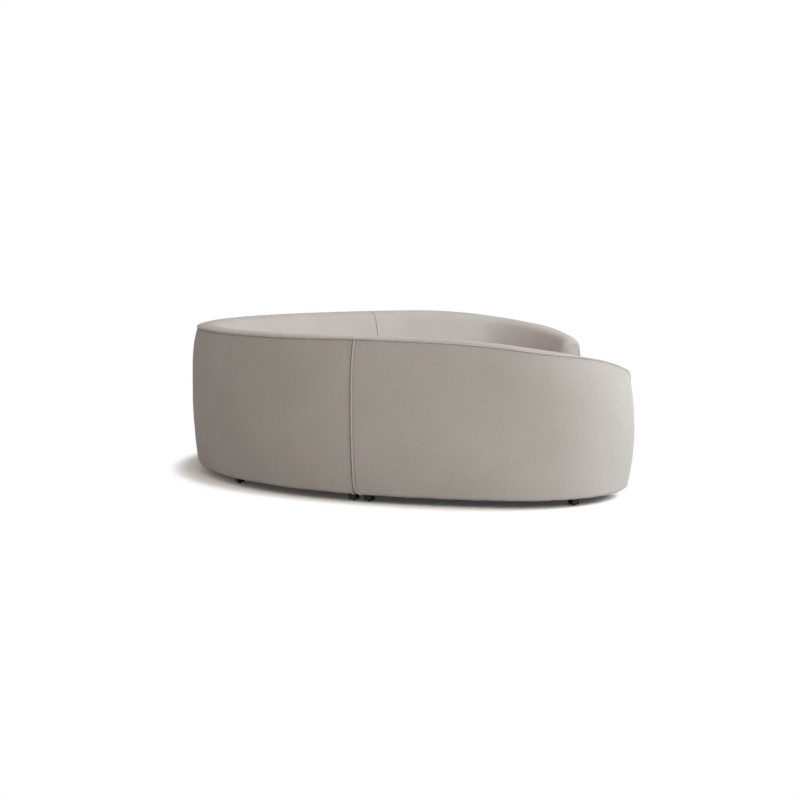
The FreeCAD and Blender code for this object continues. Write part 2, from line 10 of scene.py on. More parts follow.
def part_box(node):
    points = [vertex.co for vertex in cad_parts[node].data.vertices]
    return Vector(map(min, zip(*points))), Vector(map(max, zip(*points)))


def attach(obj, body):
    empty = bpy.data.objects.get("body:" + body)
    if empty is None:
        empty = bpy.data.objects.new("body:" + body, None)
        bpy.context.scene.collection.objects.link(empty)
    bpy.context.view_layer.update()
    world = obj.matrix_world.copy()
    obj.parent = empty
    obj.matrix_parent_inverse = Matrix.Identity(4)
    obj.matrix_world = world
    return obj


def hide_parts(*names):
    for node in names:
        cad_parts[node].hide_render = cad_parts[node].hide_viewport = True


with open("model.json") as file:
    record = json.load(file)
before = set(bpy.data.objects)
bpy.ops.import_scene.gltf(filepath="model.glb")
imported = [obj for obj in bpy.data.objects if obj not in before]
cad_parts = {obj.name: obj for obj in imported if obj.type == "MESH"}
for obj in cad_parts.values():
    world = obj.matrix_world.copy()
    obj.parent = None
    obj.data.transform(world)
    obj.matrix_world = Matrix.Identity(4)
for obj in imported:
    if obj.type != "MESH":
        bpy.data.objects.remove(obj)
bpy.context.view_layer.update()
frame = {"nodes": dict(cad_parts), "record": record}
bpy.context.scene.view_settings.view_transform = "Standard"


# Frame, feet and connectors
# Inside are birch plywood boards and woven elastic straps. Below are black plastic feet with nailed
# glides, and zinc-plated steel plates and pins that hook the three units together.
class Sock:
    """A shader socket that adds, multiplies and compares like a number."""

    def __init__(self, tree, socket):
        self.tree, self.socket = tree, socket

    def math(self, operation, other=None, third=None):
        node = self.tree.nodes.new("ShaderNodeMath")
        node.operation = operation
        for slot, value in enumerate((self, other, third)):
            if isinstance(value, Sock):
                self.tree.links.new(value.socket, node.inputs[slot])
            elif value is not None:
                node.inputs[slot].default_value = value
        return Sock(self.tree, node.outputs[0])

    def node(self, kind, inputs=(), output=0, **settings):
        """Any other node, with values or sockets for its inputs by name."""
        node = self.tree.nodes.new(kind)
        for key, value in settings.items():
            setattr(node, key, value)
        for key, value in dict(inputs).items():
            if isinstance(value, Sock):
                self.tree.links.new(value.socket, node.inputs[key])
            else:
                node.inputs[key].default_value = value
        return Sock(self.tree, node.outputs[output])

    def __add__(self, other):
        return self.math("ADD", other)

    def __sub__(self, other):
        return self.math("SUBTRACT", other)

    def __mul__(self, other):
        return self.math("MULTIPLY", other)

    def __rsub__(self, other):
        return self.math("MULTIPLY_ADD", -1.0, other)

    def __gt__(self, other):
        return self.math("GREATER_THAN", other)

    def tint(self, dark, light):
        """A colour between two, by this value."""
        inputs = {"Factor": self, 6: (*dark, 1), 7: (*light, 1)}
        return self.node("ShaderNodeMix", inputs, 2, data_type="RGBA")


def new_material(name, roughness, **settings):
    """A material with its principled shader, and a first socket to build on."""
    material = bpy.data.materials.new(name)
    material.use_nodes = True
    shader = material.node_tree.nodes["Principled BSDF"]
    shader.inputs["Roughness"].default_value = roughness
    for key, value in settings.items():
        shader.inputs[key.replace("_", " ")].default_value = value
    return material, shader, Sock(material.node_tree, None)


def patterned(name, roughness, pattern, dark, light, relief=None, **settings):
    """A finish in two colours that follow a pattern in the solid, with a relief as (strength, depth)."""
    material, shader, start = new_material(name, roughness, **settings)
    value = pattern(start, start.node("ShaderNodeTexCoord", (), 3))
    links = material.node_tree.links
    links.new(value.tint(dark, light).socket, shader.inputs["Base Color"])
    if relief:
        inputs = {"Height": value, "Strength": relief[0], "Distance": relief[1]}
        links.new(start.node("ShaderNodeBump", inputs).socket, shader.inputs["Normal"])
    return material


def speckle(scale, detail):
    """The pattern of fibres or dimples: fine, even noise."""
    def pattern(start, place):
        return start.node("ShaderNodeTexNoise", {"Vector": place, "Scale": scale, "Detail": detail})

    return pattern


def growth_rings(start, place):
    grain = start.node("ShaderNodeMapping", {"Vector": place, "Scale": (6.0, 6.0, 90.0)})
    return start.node("ShaderNodeTexNoise", {"Vector": grain, "Scale": 3.0, "Detail": 5.0, "Distortion": 0.6})


def strap_ribs(start, place):
    inputs = {"Vector": place, "Scale": 90.0, "Distortion": 0.5}
    return start.node("ShaderNodeTexWave", inputs, 1, bands_direction="DIAGONAL")


def spangle(start, place):
    return start.node("ShaderNodeTexVoronoi", {"Vector": place, "Scale": 260.0})


late_wood, early_wood = (0.46, 0.32, 0.19), (0.78, 0.62, 0.42)
plywood = patterned("birch_plywood", 0.62, growth_rings, late_wood, early_wood, (0.25, 0.0006))
webbing = patterned("woven_webbing", 0.85, strap_ribs, (0.10, 0.09, 0.07), (0.34, 0.31, 0.26), (0.4, 0.0005))
deep_black, soft_black, dimples = (0.004, 0.004, 0.004), (0.010, 0.010, 0.010), speckle(1400.0, 2.0)
black_plastic = patterned("black_foot_plastic", 0.5, dimples, deep_black, soft_black, (0.3, 0.0002))
zinc = patterned("zinc_plated_steel", 0.38, spangle, (0.50, 0.51, 0.53), (0.66, 0.67, 0.69), Metallic=1.0)
finishes = {
    "plywood": plywood,
    "webbing": webbing,
    "foot_plastic": black_plastic,
    "glide_plastic": black_plastic,
    "connector_steel": zinc,
}
for part in frame["record"]["subparts"]:
    material = finishes.get(part["material_slot"])
    if material:
        node = frame["nodes"][part["node"]]
        node.data.materials.clear()
        node.data.materials.append(material)


# Seat decks and dust covers
# Under the cushions a soft felt deck lies over the straps, and a black non-woven cloth is stapled
# across the bottom of each unit. Both are held at their edges and give a little between them.
dark_felt, pale_felt, fibres = (0.30, 0.28, 0.26), (0.52, 0.50, 0.47), speckle(380.0, 4.0)
felt = patterned("deck_cloth", 0.95, fibres, dark_felt, pale_felt, (0.5, 0.0006), Sheen_Weight=0.1)
dark_thread, pale_thread = (0.012, 0.012, 0.012), (0.05, 0.05, 0.05)
dust_cloth = patterned("black_dust_cloth", 0.9, speckle(520.0, 3.0), dark_thread, pale_thread, (0.5, 0.0005))
square_size = 0.045
deck_give, deck_held = 0.0035, 0.09
cloth_give, cloth_held, cloth_slope = 0.005, 0.09, 0.14


def mix(first, last, share):
    return first + (last - first) * share


def smooth(share):
    share = min(max(share, 0), 1)
    return share * share * (3 - 2 * share)


def soft_noise(point, scale, seed):
    return noise.noise(point * scale + Vector((seed, seed * 0.37, 0)))


def build(name, verts, faces, uvs, material, sharp=50.0, left=False):
    """A mesh object from points, faces and a UV per corner. The left one is the right one mirrored."""
    if left:
        verts = [Vector((-v.x, v.y, v.z)) for v in verts]
        faces = [face[::-1] for face in faces]
        uvs = [uv[::-1] for uv in uvs]
    mesh = bpy.data.meshes.new(name)
    mesh.from_pydata([tuple(v) for v in verts], [], faces)
    layer = mesh.uv_layers.new(name="UVMap")
    layer.data.foreach_set("uv", [value for face in uvs for uv in face for value in uv])
    mesh.polygons.foreach_set("use_smooth", [True] * len(mesh.polygons))
    mesh.set_sharp_from_angle(angle=math.radians(sharp))
    mesh.materials.append(material)
    mesh.update()
    piece = bpy.data.objects.new(name, mesh)
    bpy.context.scene.collection.objects.link(piece)
    return piece


def dress(piece, body, slot, *nodes):
    """Set a new piece on its body and hide the CAD nodes that it stands for; the finish slot is not used."""
    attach(piece, body)
    if nodes:
        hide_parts(*nodes)


def cut_fine(node, spacing):
    """A copy of a flat CAD piece, merged and cut into small squares so that it can give."""
    shape = bmesh.new()
    shape.from_mesh(frame["nodes"][node].data)
    bmesh.ops.remove_doubles(shape, verts=shape.verts[:], dist=0.00002)
    low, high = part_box(node)
    for axis in (0, 1):
        count = round((high[axis] - low[axis]) / spacing)
        for step in range(1, count):
            place, normal = Vector(), Vector()
            place[axis], normal[axis] = mix(low[axis], high[axis], (step + 0.013) / count), 1
            everything = shape.verts[:] + shape.edges[:] + shape.faces[:]
            bmesh.ops.bisect_plane(shape, geom=everything, plane_co=place, plane_no=normal)
    shape.normal_update()
    return shape


def giving_sheet(name, node, material, body, slot, give):
    """Replace a flat CAD piece by one that sinks by give(share of its height, distance from its rim)."""
    shape = cut_fine(node, square_size)
    low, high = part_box(node)
    area = sum(face.calc_area() for face in shape.faces if face.normal.z > 0.5)
    rim = [v.co for v in shape.verts if any(abs(face.normal.z) < 0.5 for face in v.link_faces)]
    near = KDTree(len(rim))
    for index, point in enumerate(rim):
        near.insert((point.x, point.y, 0), index)
    near.balance()
    verts = []
    for vert in shape.verts:
        away = near.find((vert.co.x, vert.co.y, 0))[2]
        drop = give((vert.co.z - low[2]) / (high[2] - low[2]), away)
        verts.append(vert.co - Vector((0, 0, drop * (1 + 0.5 * soft_noise(vert.co, 6.0, 3.0)))))
    faces = [tuple(v.index for v in face.verts) for face in shape.faces]
    uvs = [[(v.co.x, v.co.y + v.co.z) for v in face.verts] for face in shape.faces]
    shape.free()
    piece = build(name, verts, faces, uvs, material)
    dress(piece, body, slot, node)
    return piece, (high[0] - low[0], high[1] - low[1]), area


for unit, body in (("middle", "middle_unit"), ("right", "right_arm_unit"), ("left", "left_arm_unit")):
    deck, _, _ = giving_sheet(
        unit + "_deck_pad", unit + "_seat_deck", felt, body, "deck_cloth",
        lambda share, away: deck_give * share * smooth(away / deck_held),
    )
    cover, flat, area = giving_sheet(
        unit + "_dust_cloth", unit + "_dust_cover", dust_cloth, body, "dust_cloth",
        lambda share, away: cloth_give * smooth((away - cloth_held) / cloth_slope),
    )


# Padded outside
# One tight sheet of plain woven fabric over thin foam goes round the outside of each unit. It swells at
# half height, turns under at the floor, and its corner at the arm units' seams is rounded off.

# The piped top edge runs in plan through three tangent arcs on each side of the middle of the back.
# "Run" is the distance along it from there, "inset" the distance in from it.
back_radius, back_turn = 1.5, math.radians(62.2)
side_radius, side_sweep = 1.9, math.radians(19.8)
end_radius, end_sweep = 0.5, math.radians(90.3)
side_turn = back_turn + side_sweep
back_run = back_radius * back_turn
side_run = back_run + side_radius * side_sweep
end_run = side_run + end_radius * end_sweep
middle_end = back_run - 0.004
underside, edge_height = 0.035, 0.69
slope_start, slope_radius = 1.03, 3.41
belly, notch, arm_notch, arm_notch_reach = 0.027, 0.0042, 0.0024, 0.55
dip, dip_length, end_swell = 0.009, 0.30, 0.0065
edge_raise, seam_raise, seam_reach = 0.002, 0.0055, 0.42
arm_raise, arm_raise_at, arm_raise_reach = 0.015, 0.36, 0.33
end_drop, drop_length = 0.023, 0.12
heel_height, cover_seam_rounding, cover_corner = 0.018, 0.005, 0.034
seam_groove, groove_at, groove_width = 0.0022, 0.0088, 0.0028
ripple_clear, ripple_fade = 0.02, 0.08
edge_rounding, roll_rounding = 0.007, 0.024


def weave_material(name, dark, light, pitch=0.0011, turned=0.0, depth=0.00016):
    """Woven cloth on a UV map in metres: over-and-under threads, uneven yarn, a soft larger variation, and
    painted shade where the threads dip under each other.
    """
    material, shader, start = new_material(name, 0.92, Sheen_Weight=0.12, Sheen_Roughness=0.6)
    shader.inputs["Specular IOR Level"].default_value = 0.25
    place = start.node("ShaderNodeUVMap")
    turn = start.node("ShaderNodeMapping", {"Vector": place, "Rotation": (0, 0, turned)})
    wander = start.node("ShaderNodeTexNoise", {"Vector": turn, "Scale": 45.0, "Detail": 1.0}, 1)
    across = start.node("ShaderNodeSeparateXYZ", {"Vector": turn}, 0)
    down = start.node("ShaderNodeSeparateXYZ", {"Vector": turn}, 1)
    sway_x = start.node("ShaderNodeSeparateXYZ", {"Vector": wander}, 0) * 0.9
    sway_y = start.node("ShaderNodeSeparateXYZ", {"Vector": wander}, 1) * 0.9
    warp, weft = across * (1 / pitch) + sway_x, down * (1 / pitch) + sway_y
    warp_row, weft_row = warp.math("FLOOR"), weft.math("FLOOR")
    over = ((warp_row + weft_row) * 0.5).math("FRACT") > 0.25
    warp_round = (warp * math.pi).math("SINE").math("ABSOLUTE")
    weft_round = (weft * math.pi).math("SINE").math("ABSOLUTE")
    warp_high = warp_round * (weft_round * 0.6 + 0.4)
    weft_high = weft_round * (warp_round * 0.6 + 0.4)
    height = warp_high * over + weft_high * (1 - over)
    warp_yarn = start.node("ShaderNodeCombineXYZ", {"X": warp_row, "Y": weft * 0.06})
    weft_yarn = start.node("ShaderNodeCombineXYZ", {"X": warp * 0.06, "Y": weft_row, "Z": 7.0})
    warp_tone = start.node("ShaderNodeTexNoise", {"Vector": warp_yarn, "Scale": 1.7, "Detail": 2.0})
    weft_tone = start.node("ShaderNodeTexNoise", {"Vector": weft_yarn, "Scale": 1.7, "Detail": 2.0})
    tone = warp_tone * over + weft_tone * (1 - over)
    cloud = start.node("ShaderNodeTexNoise", {"Vector": turn, "Scale": 3.1, "Detail": 3.0, "Roughness": 0.55})
    speck = start.node("ShaderNodeTexNoise", {"Vector": turn, "Scale": 210.0, "Detail": 2.0})
    # height * 0.35 is painted shade: the crests of the threads are painted lighter and the dips between them
    # darker, on top of the bump.
    shade = (tone - 0.5) * 1.1 + (cloud - 0.5) * 0.35 + (speck - 0.5) * 0.8 + height * 0.35 + 0.32
    colour = shade.math("MINIMUM", 1.0).math("MAXIMUM", 0.0).tint(dark, light)
    nap = start.node("ShaderNodeTexNoise", {"Vector": turn, "Scale": 900.0, "Detail": 2.0})
    inputs = {"Height": height + nap * 0.35, "Strength": 0.6, "Distance": depth}
    raised = start.node("ShaderNodeBump", inputs)
    tree = material.node_tree
    tree.links.new(colour.socket, shader.inputs["Base Color"])
    tree.links.new(raised.socket, shader.inputs["Normal"])
    return material


fabric = weave_material("greige_weave", (0.36, 0.342, 0.326), (0.70, 0.678, 0.66))


def outward(turn):
    return Vector((math.sin(turn), math.cos(turn), 0))


back_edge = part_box("middle_top_piping")[1].y - 0.003
back_centre = Vector((0, back_edge - back_radius, 0))
side_centre = back_centre + outward(back_turn) * (back_radius - side_radius)
end_centre = side_centre + outward(side_turn) * (side_radius - end_radius)


def bend_at(run):
    if abs(run) <= back_run:
        return back_centre, back_radius, run / back_radius
    if run <= side_run:
        return side_centre, side_radius, back_turn + (run - back_run) / side_radius
    return end_centre, end_radius, side_turn + (run - side_run) / end_radius


def spot(run, inset, height):
    centre, radius, turn = bend_at(run)
    return centre + outward(turn) * (radius - inset) + Vector((0, 0, height))


def end_share(run):
    """From none to one over the last stretch of the wall before the arm's end."""
    return smooth(1 - (end_run - abs(run)) / dip_length)


def raised_near(run, at, reach):
    """From none up to one at a run, and down to none again, reach away on either side."""
    return math.cos(min(abs(abs(run) - at) / reach, 1) * math.pi / 2) ** 2


def edge_inset(run):
    """The piping's inset, a little less than none where the arm's end is padded fuller."""
    return -end_swell * end_share(run)


def seam_notch(run):
    """Half the height of the gap that the piping fills, closed where the piping turns down the arm's end."""
    open_gap = mix(notch, arm_notch, smooth((abs(run) - side_run) / arm_notch_reach))
    return mix(open_gap, 0.0003, smooth((abs(run) - end_run + 0.055) / 0.025))


def wall_top(run):
    past = max(back_edge - spot(run, 0, 0).y - slope_start, 0)
    return edge_height - slope_radius + math.sqrt(slope_radius**2 - past**2)


def fallen_end(run):
    """How far the arm's top falls away over its very last stretch, where the cover rounds over."""
    return end_drop * max(1 - (end_run - abs(run)) / drop_length, 0) ** 2


def edge_top(run):
    """Height of the piping, which is pulled up a little where units meet and before the arm's end."""
    pulled = seam_raise * raised_near(run, back_run, seam_reach)
    pulled += arm_raise * raised_near(run, end_run - arm_raise_at, arm_raise_reach)
    return wall_top(run) + edge_raise + pulled - dip * end_share(run) - fallen_end(run)


def arc(first, middle, last, count):
    """Even points of (inset, height) on the arc through three points, both ends included."""
    a, b, c = Vector(first), Vector(middle), Vector(last)
    d = 2 * (a.x * (b.y - c.y) + b.x * (c.y - a.y) + c.x * (a.y - b.y))
    aa, bb, cc = (point.length_squared for point in (a, b, c))
    ux = (aa * (b.y - c.y) + bb * (c.y - a.y) + cc * (a.y - b.y)) / d
    uy = (aa * (c.x - b.x) + bb * (a.x - c.x) + cc * (b.x - a.x)) / d
    centre = Vector((ux, uy))
    start, turn = a - centre, (a - centre).angle_signed(b - centre) + (b - centre).angle_signed(c - centre)
    points = []
    for step in range(count + 1):
        angle = -turn * step / count
        points.append((
            ux + start.x * math.cos(angle) - start.y * math.sin(angle),
            uy + start.x * math.sin(angle) + start.y * math.cos(angle),
        ))
    return points


def outer_profile(run, bottom):
    """Outer face of the cover, from its turned-under edge, round the heel and over the belly to the top."""
    top = edge_top(run)
    heel = (-0.004, bottom + heel_height)
    curve = arc((0.014, bottom), (0.0013, bottom + 0.0053), heel, 5)
    edge, power = edge_inset(run), mix(4, 2, end_share(run))
    levels = [step / 40 for step in range(1, 37)] + [0.92, 0.94, 0.96, 0.975, 0.9875, 1]
    for level in levels:
        away = 2 * level - 1
        end = heel[0] if away < 0 else edge
        inset = mix(-belly + edge / 2, end, abs(away) ** (2 if away < 0 else power))
        curve.append((inset, mix(heel[1], top - seam_notch(run), level)))
    return curve


def walked(curve, corner):
    """How far along the face each point of a curve lies from the corner that it starts at."""
    distances, last = [], Vector(corner)
    for point in curve:
        before = distances[-1] if distances else 0
        distances.append(before + (Vector(point) - last).length)
        last = Vector(point)
    return distances


def walked_round(outline):
    """How far round a closed outline each point lies from the first, and its whole length last."""
    distances = [0.0]
    for one, two in zip(outline, outline[1:] + outline[:1]):
        distances.append(distances[-1] + math.dist(one, two))
    return distances


def steps_between(first, last, spacing, rounding):
    """Runs from first to last, close together where the rounded ends need them."""
    near = [0, 0.02, 0.08, 0.19, 0.34, 0.52, 0.74, 1, 1.5]
    start, finish = [rounding[0] * share for share in near], [rounding[1] * share for share in near]
    count = max(round((last - first - start[-1] - finish[-1]) / spacing), 2)
    inner = [mix(first + start[-1], last - finish[-1], step / count) for step in range(1, count)]
    return [first + value for value in start] + inner + [last - value for value in finish[::-1]]


def round_off(away, radius):
    """How far a cover is drawn in, that distance away from a rounded end."""
    return radius - math.sqrt(max(radius**2 - max(radius - away, 0) ** 2, 0))


def drawn_in(curve, amounts):
    """A curve moved in from its face, square to itself, by one amount or one for each point."""
    if not isinstance(amounts, list):
        amounts = [amounts] * len(curve)
    moved = []
    for index, (point, amount) in enumerate(zip(curve, amounts)):
        before, after = curve[max(index - 1, 0)], curve[min(index + 1, len(curve) - 1)]
        run, rise = after[0] - before[0], after[1] - before[1]
        length = math.hypot(run, rise)
        moved.append((point[0] + rise / length * amount, point[1] - run / length * amount))
    return moved


def arm_end_radii(curve, corner):
    """Rounding of the arm's end for points of a face, small down the piped edge and large over the roll."""
    sign = 1 if curve[0][1] > curve[-1][1] else -1
    radii = []
    for away in walked(curve if sign > 0 else curve[::-1], corner):
        radii.append(mix(edge_rounding, roll_rounding, smooth(sign * away / 0.08)))
    return radii if sign > 0 else radii[::-1]


def ring_faces(rows, size, backwards=False):
    """Faces between rows of points that each go once round, and one face to close each end."""
    faces = []
    for row in range(rows - 1):
        here, above = row * size, (row + 1) * size
        for column in range(size):
            after = (column + 1) % size
            corners = (here + column, here + after, above + after, above + column)
            faces.append(corners[:1] + corners[:0:-1] if backwards else corners)
    ends = [tuple(range(size))[::-1], tuple(range((rows - 1) * size, rows * size))]
    return faces + [end[::-1] if backwards else end for end in ends]


def ring_uvs(lengths, around, outline, backwards=False):
    """UVs in metres for those faces, by how far along each row lies and how far round each point lies."""
    uvs = []
    for u0, u1 in zip(lengths, lengths[1:]):
        for v0, v1 in zip(around, around[1:]):
            corners = [(u0, v0), (u0, v1), (u1, v1), (u1, v0)]
            uvs.append(corners[:1] + corners[:0:-1] if backwards else corners)
    ends = [outline[::-1], outline]
    return uvs + (ends[::-1] if backwards else ends)


def swept(name, runs, outline, left, ripple, seed):
    """A closed cover: outline gives the seen and the hidden points of its ring at a run."""
    verts = []
    for run in runs:
        seen, hidden = outline(run)
        calm = smooth((min(run - runs[0], runs[-1] - run) - ripple_clear) / ripple_fade)
        for inset, height in seen:
            point = spot(run, inset, height)
            uneven = soft_noise(point, 6.0, seed) + 0.5 * soft_noise(point, 17.0, seed)
            verts.append(point + outward(bend_at(run)[2]) * uneven * ripple * calm)
        verts += [spot(run, inset, height) for inset, height in hidden]
    seen, hidden = outline(runs[len(runs) // 2])
    ring = seen + hidden
    uvs = ring_uvs(runs, walked_round(ring), ring)
    return build(name, verts, ring_faces(len(runs), len(ring)), uvs, fabric, left=left)


def hem_wave(run, seed):
    """The slight unevenness of a hem that is stapled under by hand."""
    slow, quick = noise.noise(Vector((run * 8, seed, 0))), noise.noise(Vector((run * 21, seed, 4)))
    return 0.0016 * slow + 0.0011 * quick


def from_seam(run, first, last):
    """How far a run lies from the nearest end of its unit that meets another unit."""
    return min(run - first, last - run) if last < end_run else run - first


def rounded_face(curve, run, first, last, corner, seam_rounding, first_rounding=0):
    """A face of the wall, drawn in at its rounded seam end, first edge and, on an arm unit, free end."""
    near = from_seam(run, first, last)
    groove = seam_groove * math.exp(-(((near - groove_at) / groove_width) ** 2))
    draws = [round_off(near, seam_rounding) + groove] * len(curve)
    if first_rounding:
        steps = walked(curve, curve[0])
        draws = [max(draw, round_off(away, first_rounding)) for draw, away in zip(draws, steps)]
    if last == end_run:
        radii = arm_end_radii(curve, corner)
        draws = [max(draw, round_off(last - run, radius)) for draw, radius in zip(draws, radii)]
    return drawn_in(curve, draws)


def outer_outline(first, last, corner, seed):
    """The ring of an outer cover at any run: its face, the tuck under the piping and the hidden back."""
    def outline(run):
        bottom = underside + hem_wave(run, seed)
        near = from_seam(run, first, last)
        bottom += round_off(near, corner) if corner else -0.004 * max(1 - near / 0.014, 0)
        top = (edge_inset(run), edge_top(run))
        face = rounded_face(outer_profile(run, bottom), run, first, last, top, cover_seam_rounding)
        tuck = Vector(face[-1]) - Vector((0, top[1] - seam_notch(run)))
        seen = face + [tuple(Vector((0.006, top[1] - 0.0015)) + tuck)]
        hidden = [tuple(Vector((0.0125, top[1] - 0.004)) + tuck)]
        return seen, hidden + [(0.0125, bottom + 0.03), (0.045, bottom + 0.003), (0.045, bottom)]

    return outline


close = middle_end - 0.0045
runs = steps_between(-close, close, 0.016, (0.006, 0.006))
cover = swept("middle_outer_cover", runs, outer_outline(-close, close, 0, 1.3), False, 0.0012, 0.0)
dress(cover, "middle_unit", "upholstery_fabric", "middle_outer_panel")
seam_start = back_run - 0.0028
groove_steps = [seam_start + away for away in (0.005, 0.0075, 0.0088, 0.0101, 0.0135)]
runs = sorted(steps_between(seam_start, end_run, 0.012, (cover_corner, 0.026)) + groove_steps)
for left in (False, True):
    side = "left" if left else "right"
    outline = outer_outline(seam_start, end_run, cover_corner, 5.9)
    cover = swept(side + "_outer_cover", runs, outline, left, 0.0012, 3.1)
    dress(cover, side + "_arm_unit", "upholstery_fabric", side + "_outer_panel")


# Rolled top and inner back
# A deep foam pad forms the rolled top and the leaning inner face in one, covered by one sheet
# that is pulled down behind the seat cushions.
deck_height = 0.29
crown_dip, lift, lift_at, lift_reach = 0.004, 0.0075, 0.42, 0.33
back_foot, arm_foot = 0.222, 0.11
back_seam_rounding, back_edge_rounding = 0.0035, 0.006


def arm_share(run):
    return smooth((abs(run) - back_run) / (end_run - back_run))


def crown_height(run):
    """Height of the rolled top, which is a little fuller before the arm's end."""
    rise = mix(0.016, 0.0135, arm_share(run)) + lift * raised_near(run, end_run - lift_at, lift_reach)
    return wall_top(run) + rise - crown_dip * end_share(run) - fallen_end(run)


def foot_line(run):
    """Inset of the inner face where it meets the seat."""
    return mix(back_foot, arm_foot, arm_share(run))


def inner_profile(run):
    """Crown, roll and leaning inner face of the back, from the piping down to the seat."""
    share, top = arm_share(run), edge_top(run)
    crown_at = mix(0.06, 0.044, share)
    crown_top = crown_height(run)
    rise = crown_top - top
    roll, lean = mix(0.075, 0.048, share), math.radians(mix(28, 12, share))
    foot, climb = foot_line(run), rise - seam_notch(run)
    crown_radius = (crown_at**2 + climb**2) / (2 * climb)
    half = math.asin(crown_at / crown_radius) / 2
    shoulder = (crown_at - crown_radius * math.sin(half), crown_top - crown_radius * (1 - math.cos(half)))
    middle = (math.pi / 2 + lean) / 2
    roll_middle = (crown_at + roll * math.cos(middle), crown_top - roll * (1 - math.sin(middle)))
    roll_end = (crown_at + roll * math.cos(lean), crown_top - roll * (1 - math.sin(lean)))
    edge = edge_inset(run)
    crown = arc((0, top + seam_notch(run)), shoulder, (crown_at, crown_top), 40)
    crown = [crown[index] for index in (0, 1, 2, 3, 4, 5, 7, 10, 14, 18, 22, 26, 30, 35, 40)]
    curve = [(inset + edge * (1 - inset / crown_at), height) for inset, height in crown]
    curve += arc((crown_at, crown_top), roll_middle, roll_end, 10)[1:]
    across, down = foot - roll_end[0], roll_end[1] - deck_height
    length = math.hypot(across, down)
    swell = 0.010 + 0.004 * share
    bulge_inset = roll_end[0] + across / 2 + swell * down / length
    bulge_height = roll_end[1] - down / 2 + swell * across / length
    return curve + arc(roll_end, (bulge_inset, bulge_height), (foot, deck_height), 20)[1:]


def inner_outline(first, last):
    """The ring of an inner cover at any run: the tuck under the piping, its face and the hidden back."""
    def outline(run):
        top = edge_top(run)
        corner = (edge_inset(run), top)
        face = inner_profile(run)
        face = rounded_face(face, run, first, last, corner, back_seam_rounding, back_edge_rounding)
        tuck = Vector(face[0]) - Vector((0, top + seam_notch(run)))
        seen = [tuple(Vector((0.006, top + 0.0015)) + tuck)] + face
        behind = mix(0.09, 0.06, arm_share(run))
        return seen, [(face[-1][0] - 0.04, deck_height), (behind, top - 0.06), (0.02, top - 0.03)]

    return outline


close = middle_end - 0.0008
runs = steps_between(-close, close, 0.018, (back_seam_rounding, back_seam_rounding))
back = swept("middle_back_cover", runs, inner_outline(-close, close), False, 0.0022, 5.0)
dress(back, "middle_unit", "upholstery_fabric", "middle_back_pad")
runs = steps_between(seam_start, end_run, 0.012, (back_seam_rounding, 0.026))
for left in (False, True):
    side = "left" if left else "right"
    back = swept(side + "_back_cover", runs, inner_outline(seam_start, end_run), left, 0.0018, 8.0)
    dress(back, side + "_arm_unit", "upholstery_fabric", side + "_back_pad")


# Closed sides at the seams
# Where two units meet, each has a flat upholstered side: the wall with its roll, and the seat box.
# It is thin foam under the same fabric, and it is stapled behind the edges of the covers.
seat_reach = 0.775
side_clearance = 0.002


def section(run):
    """Both faces of the wall at a run, from the bottom up to the piping and from there down inside."""
    return outer_profile(run, underside), inner_profile(run)


def closed_offset(outline, amount):
    """A closed outline drawn in by an amount, square to itself."""
    moved = []
    count = len(outline)
    for index in range(count):
        before, after = Vector(outline[index - 1]), Vector(outline[(index + 1) % count])
        here = Vector(outline[index])
        normal = (here - before).normalized() + (after - here).normalized()
        normal = Vector((normal.y, -normal.x)).normalized()
        moved.append(tuple(here + normal * amount))
    return moved


def side_outline(run):
    seat = seat_reach - side_clearance
    outside, inside = section(run)
    wall = outside[::2] + inside[1::2]
    return wall + [(seat, deck_height - 0.001), (seat, underside + side_clearance)]


def flat_slab(name, planes, outline, left):
    """A flat padded side: its outline at each plane (run, how far it is drawn in), closed at both ends."""
    verts = []
    for run, shrink in planes:
        verts += [spot(run, inset, height) for inset, height in closed_offset(outline, shrink)]
    faces = ring_faces(len(planes), len(outline))
    flat = outline * len(planes)
    return build(name, verts, faces, [[flat[index] for index in face] for face in faces], fabric, left=left)


outline = side_outline(middle_end)
for left in (False, True):
    side = "left" if left else "right"
    planes = [(middle_end - 0.016, 0.004), (middle_end - 0.008, 0.004), (middle_end - 0.0055, 0.007)]
    slab = flat_slab("middle_" + side + "_side", planes, outline, left)
    dress(slab, "middle_unit", "upholstery_fabric", "middle_end_panels")
    planes = [(back_run - 0.0022, 0.007), (back_run + 0.0003, 0.004), (back_run + 0.010, 0.004)]
    slab = flat_slab(side + "_seam_side", planes, outline, left)
    dress(slab, side + "_arm_unit", "upholstery_fabric", side + "_end_panel")


# Face of the arm's end
# The wall is closed at the arm's end by a lightly padded face of its full section. Fabric is pulled
# over thin foam on a board, and the face is fullest along an upright line down its middle.
end_turn = side_turn + end_sweep
face_fullness, face_middle, face_foot = 0.0055, 0.045, 0.10


def along(turn):
    return Vector((math.cos(turn), -math.sin(turn), 0))


outside, inside = section(end_run)
corner = (edge_inset(end_run), edge_top(end_run))
radii = arm_end_radii(outside, corner) + arm_end_radii(inside, corner)
outline = drawn_in(outside + inside, [radius + 0.0006 for radius in radii])
outline.append((outline[-1][0], underside + 0.004))
face_head = corner[1] - face_middle
levels = [(-0.016, 0.0), (-0.0012, 0.0), (-0.0002, 0.03)]
for share in (0.12, 0.25, 0.4, 0.55, 0.7, 0.85):
    levels.append((face_fullness * math.sin(share * math.pi / 2), share))
for left in (False, True):
    side = "left" if left else "right"
    verts, flat = [], []
    for forward, share in levels:
        for inset, height in outline:
            middle = Vector((face_middle, min(max(height, face_foot), face_head)))
            here = Vector((inset, height)).lerp(middle, share)
            verts.append(spot(end_run, here.x, here.y) + along(end_turn) * forward)
            flat.append((here.x, here.y))
    faces = ring_faces(len(levels), len(outline))
    uvs = [[flat[index] for index in face] for face in faces]
    pad = build(side + "_arm_end_cover", verts, faces, uvs, fabric, left=left)
    dress(pad, side + "_arm_unit", "upholstery_fabric", side + "_arm_end_pad")


